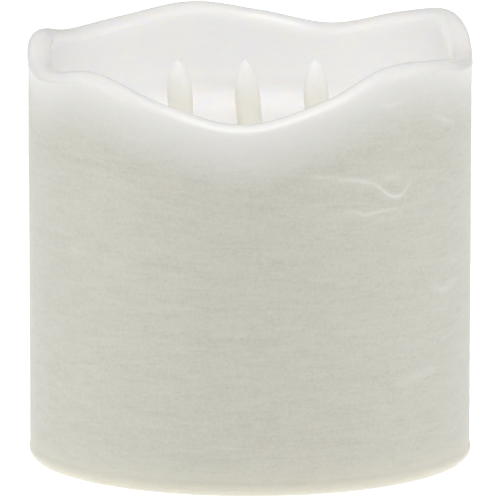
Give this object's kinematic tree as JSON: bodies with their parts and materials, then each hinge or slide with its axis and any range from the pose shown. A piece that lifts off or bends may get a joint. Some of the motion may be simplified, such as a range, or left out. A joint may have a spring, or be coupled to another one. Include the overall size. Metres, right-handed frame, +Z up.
{
  "type": "flameless led candle",
  "caption": "Wide real-wax pillar candle with a melted wavy rim, a row of translucent LED flame tips, and a base plate with a hinged battery door and a slide switch.",
  "frame": {"origin": "centre of the bottom, on the surface that the feet stand on", "axes": "+Z up; -Y is the front, where the rim dips lowest; the row of flames runs along X"},
  "size_m": [0.15, 0.15, 0.15],
  "materials": {
    "wax": "cast wax, brushed with fine level streaks, satin",
    "flame": "milky translucent, smooth",
    "liner": "moulded, matt",
    "base": "moulded, fine texture",
    "led": "clear epoxy",
    "circuit_board": "solder mask",
    "screw_steel": "zinc plated",
    "contact_steel": "nickel plated",
    "cell": "plain metallic sleeve",
    "foot_rubber": "matt",
    "black_plastic": "moulded, matt",
    "capacitor_sleeve": "shrink sleeve",
    "tinned_steel": "tinned",
    "resistor_coat": "lacquer with colour bands",
    "red_wire": "insulation",
    "black_wire": "insulation"
  },
  "bodies": {
    "candle": {"wax_body": "wax", "inner_liner": "liner", "flame_left": "flame", "led_left": "led", "flame_centre": "flame", "led_centre": "led", "flame_right": "flame", "led_right": "led", "led_board": "circuit_board", "led_board_screw_left": "screw_steel", "led_board_screw_right": "screw_steel", "base_plate": "base", "base_screw_1": "screw_steel", "base_screw_2": "screw_steel", "base_screw_3": "screw_steel", "base_screw_4": "screw_steel", "foot_1": "foot_rubber", "foot_2": "foot_rubber", "foot_3": "foot_rubber", "foot_4": "foot_rubber", "battery_1": "cell", "battery_2": "cell", "battery_3": "cell", "battery_spring_1": "contact_steel", "battery_spring_2": "contact_steel", "battery_spring_3": "contact_steel", "contact_positive": "contact_steel", "contact_bridge_front": "contact_steel", "contact_bridge_rear": "contact_steel", "contact_negative": "contact_steel", "control_board": "circuit_board", "switch_body": "tinned_steel", "timer_chip": "black_plastic", "quartz_crystal": "tinned_steel", "capacitor": "capacitor_sleeve", "resistor_1": "resistor_coat", "resistor_2": "resistor_coat", "resistor_3": "resistor_coat", "control_board_screw_left": "screw_steel", "control_board_screw_right": "screw_steel", "led_wire_positive": "red_wire", "led_wire_negative": "black_wire", "battery_wire_positive": "red_wire", "battery_wire_negative": "black_wire"},
    "battery_door": {"battery_door": "base"},
    "switch_knob": {"switch_knob": "black_plastic"}
  },
  "joints": [
    {"name": "battery_door_hinge", "type": "hinge", "parent": "candle", "child": "battery_door", "pos_m": [0, 0.0332, 0.0044], "axis": [1, 0, 0], "range_deg": [0, 90]},
    {"name": "switch_slide", "type": "slide", "parent": "candle", "child": "switch_knob", "axis": [1, 0, 0], "range_m": [-0.002, 0.002]}
  ]
}
